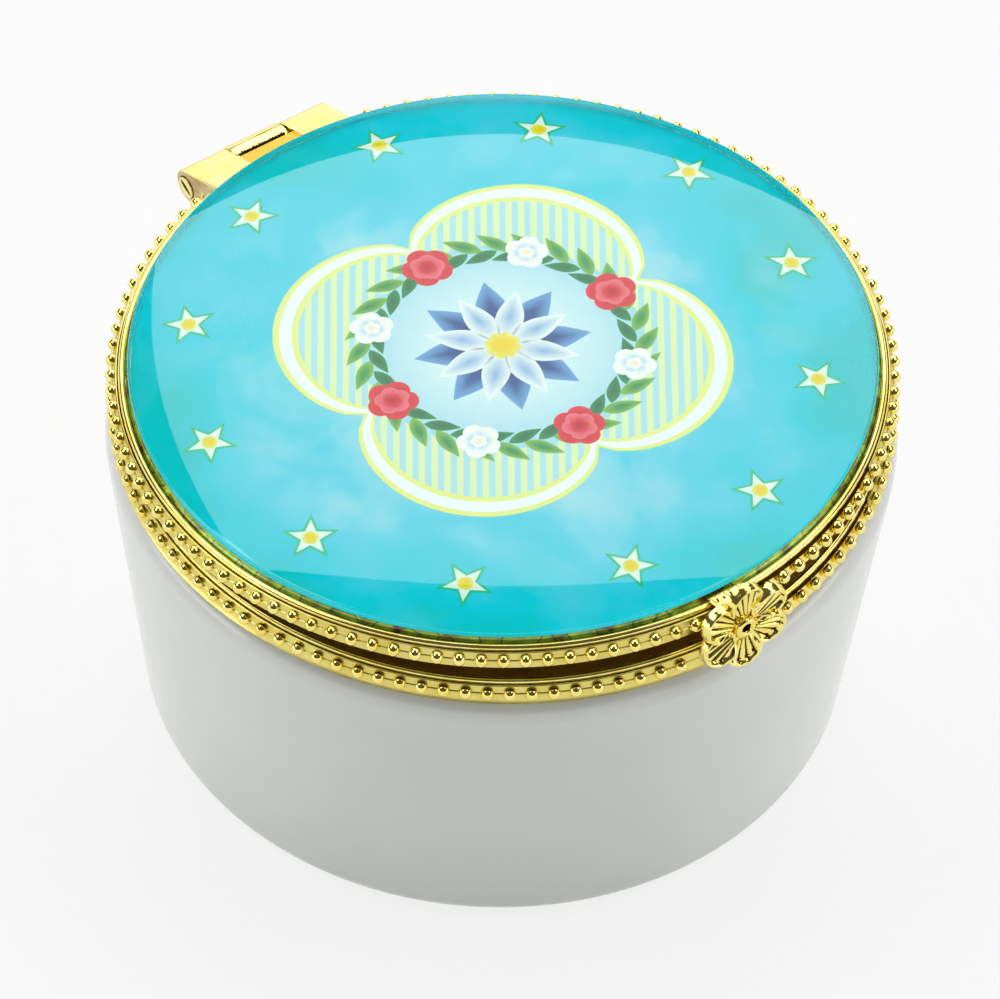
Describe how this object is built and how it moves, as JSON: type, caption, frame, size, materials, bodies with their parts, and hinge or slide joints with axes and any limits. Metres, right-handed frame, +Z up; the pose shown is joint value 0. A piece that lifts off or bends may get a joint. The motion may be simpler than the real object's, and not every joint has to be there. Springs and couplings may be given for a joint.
{
  "type": "hinged round trinket box",
  "caption": "Round white porcelain rosary box with a hinged gilt lid, beaded rims, a picture under a glass dome and a flower clasp.",
  "frame": {"origin": "centre of the foot ring, on the surface that the box stands on", "axes": "+Z up along the bowl's axis, +Y towards the hinge, -Y towards the clasp, +X to the right seen from the clasp"},
  "size_m": [0.0636, 0.0689, 0.0386],
  "materials": {
    "porcelain": "white porcelain under a clear gloss glaze",
    "cement": "set filler, dull",
    "gilt_rim": "rolled brass, bright gold plate",
    "gilt_sheet": "sheet brass, gold plate, a little duller",
    "gilt_casting": "casting, gold plate over a slightly rough skin",
    "print": null,
    "glass": "clear polished glass",
    "glue": "clear glue that shows the gold through it"
  },
  "bodies": {
    "base": {"bowl": "porcelain", "rim_cement": "cement", "base_rim": "gilt_rim", "base_bead_strip_left": "gilt_rim", "base_bead_strip_right": "gilt_rim", "hinge_base_leaf": "gilt_sheet", "clasp_catch": "gilt_casting"},
    "lid": {"lid_rim": "gilt_rim", "lid_bead_strip_left": "gilt_rim", "lid_bead_strip_right": "gilt_rim", "lid_plate": "gilt_sheet", "picture_disc": "print", "lid_glass": "glass", "glass_glue": "glue", "hinge_lid_leaf": "gilt_casting", "hinge_pin": "gilt_sheet", "clasp_tongue": "gilt_casting", "clasp_flower": "gilt_casting"}
  },
  "joints": [
    {"name": "lid_hinge", "type": "hinge", "parent": "base", "child": "lid", "pos_m": [-0.0013, 0.03325, 0.0305], "axis": [-1, 0, 0], "range_deg": [-2.1, 97.9]}
  ]
}
